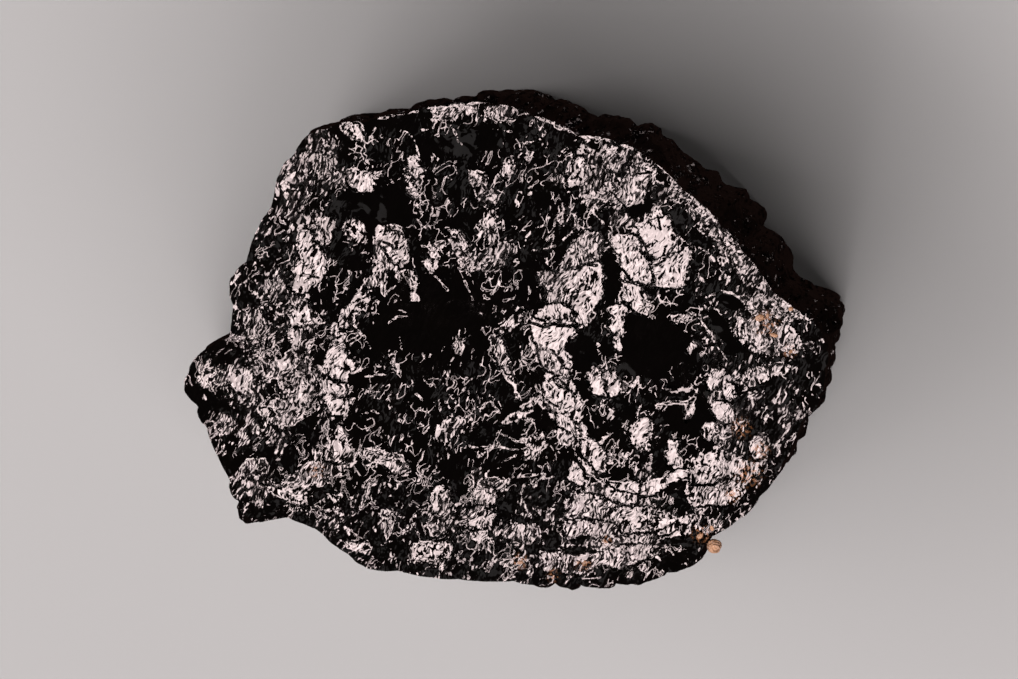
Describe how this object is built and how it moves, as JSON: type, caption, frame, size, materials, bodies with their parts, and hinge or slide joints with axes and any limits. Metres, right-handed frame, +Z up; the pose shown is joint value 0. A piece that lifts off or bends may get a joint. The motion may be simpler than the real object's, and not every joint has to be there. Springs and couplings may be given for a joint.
{
  "type": "schorl crystal",
  "caption": "Stubby black tourmaline crystal, ribbed along its sides and broken across both ends, with a rough glassy fracture face on top.",
  "frame": {"origin": "centre of the footprint, on the surface that the crystal stands on", "axes": "+Z up along the crystal's length, out of the upper fracture face; +X along the longest side of the cross-section"},
  "size_m": [0.0618, 0.0466, 0.037],
  "materials": {
    "schorl": "vitreous, rough and shell-like on the break, striated on the sides",
    "feldspar": "dull, stained by iron"
  },
  "bodies": {
    "root": {"schorl_crystal": "schorl", "feldspar_grain": "feldspar"}
  },
  "joints": []
}
